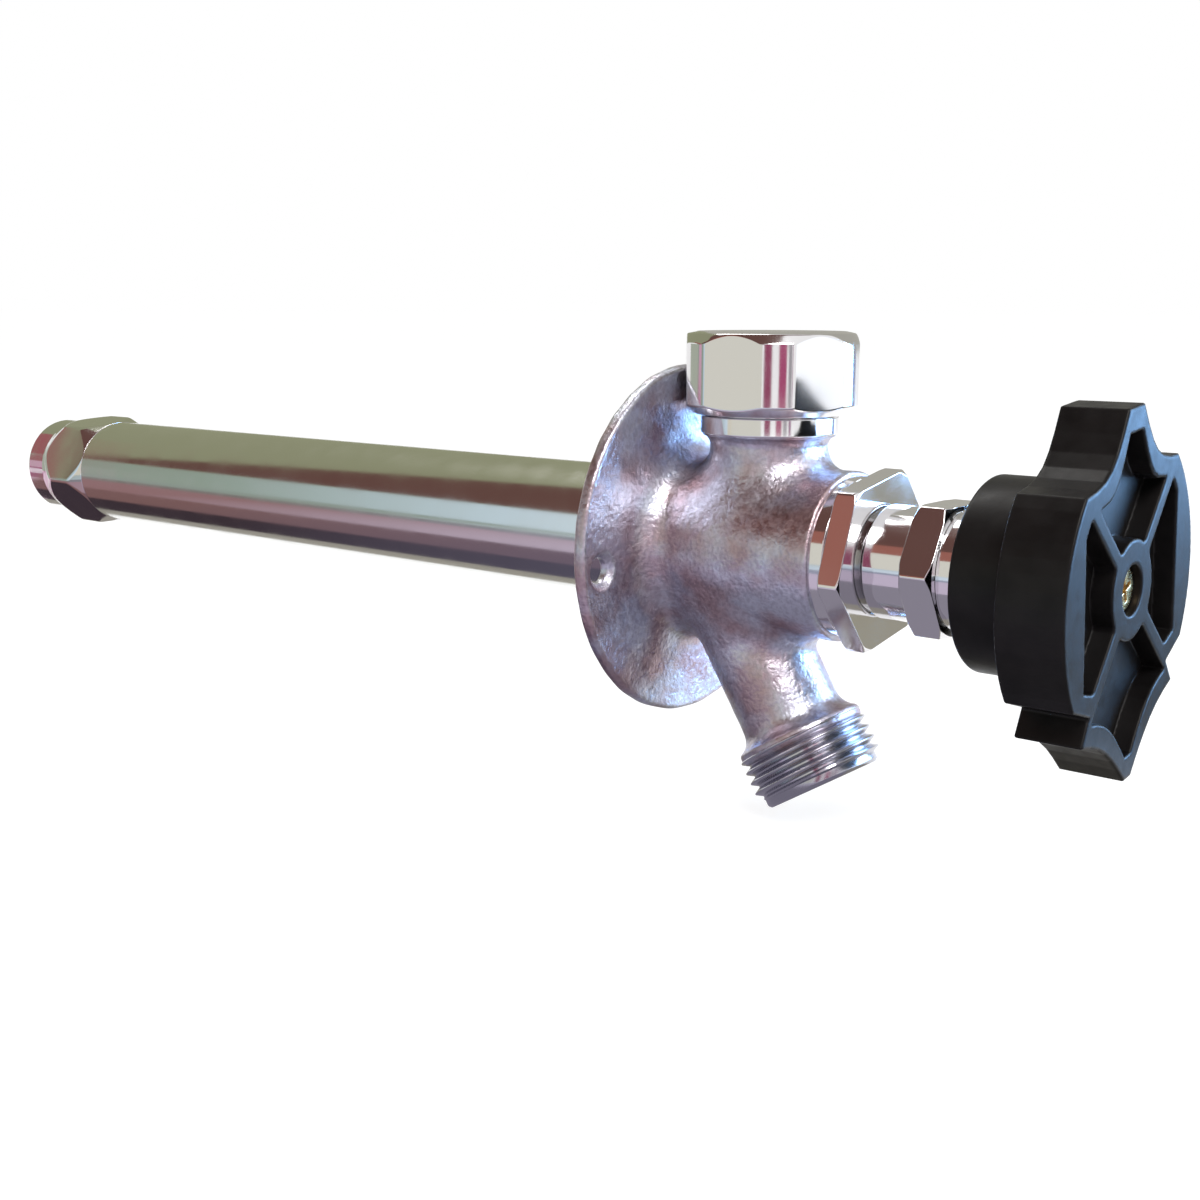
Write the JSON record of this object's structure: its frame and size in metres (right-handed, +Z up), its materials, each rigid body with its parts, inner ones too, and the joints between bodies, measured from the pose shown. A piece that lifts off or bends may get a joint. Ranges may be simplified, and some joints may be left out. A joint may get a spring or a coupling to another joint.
{
  "type": "frost free sillcock",
  "caption": "Frost free wall sillcock with a long tube, screw flange, vacuum breaker, hose thread spout and lobed handle that lifts a seat washer at the inlet end.",
  "frame": {"origin": "centre of the flange's back face, on the tube axis, in the plane of the wall", "axes": "+Y runs along the tube into the wall, -Y towards the handle, +Z is up to the vacuum breaker"},
  "size_m": [0.0728, 0.3322, 0.097],
  "materials": {
    "cast_chrome": "chrome over rough casting",
    "bright_chrome": "polished chrome",
    "brass": "machined brass",
    "black_plastic": "moulded, satin",
    "pale_plastic": "moulded",
    "rubber": "moulded rubber",
    "packing": "graphite packing",
    "steel": "stainless"
  },
  "bodies": {
    "root": {"valve_body": "cast_chrome", "barrel_tube": "bright_chrome", "inlet_fitting": "bright_chrome", "bonnet": "bright_chrome", "bonnet_o_ring": "rubber", "packing_nut": "bright_chrome", "packing_ring": "packing", "packing_washer": "brass", "vacuum_breaker_cap": "bright_chrome", "cap_gasket": "rubber", "breaker_seat": "brass"},
    "plunger": {"plunger": "brass", "seat_washer": "rubber", "washer_screw": "brass", "relief_plug": "brass", "relief_spring": "steel"},
    "stem": {"operating_rod": "brass", "stem_screw": "brass", "stem_pin": "steel", "rod_guide": "pale_plastic", "handle": "black_plastic", "handle_screw": "brass"},
    "poppet": {"breaker_poppet": "pale_plastic", "poppet_seal": "rubber"},
    "relief_ball": {"relief_ball": "steel"}
  },
  "joints": [
    {"name": "washer_lift", "type": "slide", "parent": "root", "child": "plunger", "axis": [0, -1, 0], "range_m": [0, 0.006]},
    {"name": "handle_turn", "type": "hinge", "parent": "plunger", "child": "stem", "pos_m": [0, 0, 0], "axis": [0, -1, 0], "range_deg": [0, 720]},
    {"name": "poppet_lift", "type": "slide", "parent": "root", "child": "poppet", "axis": [0, 0, 1], "range_m": [0, 0.0025]},
    {"name": "relief_press", "type": "slide", "parent": "plunger", "child": "relief_ball", "axis": [0, 0, -1], "range_m": [0, 0.0014], "stiffness_N_per_m": 300, "springref_m": -0.001, "deforming": ["relief_spring"]}
  ],
  "couplings": [
    {"joint": "washer_lift", "follows": "handle_turn", "m_per_rad": 0.000477}
  ]
}
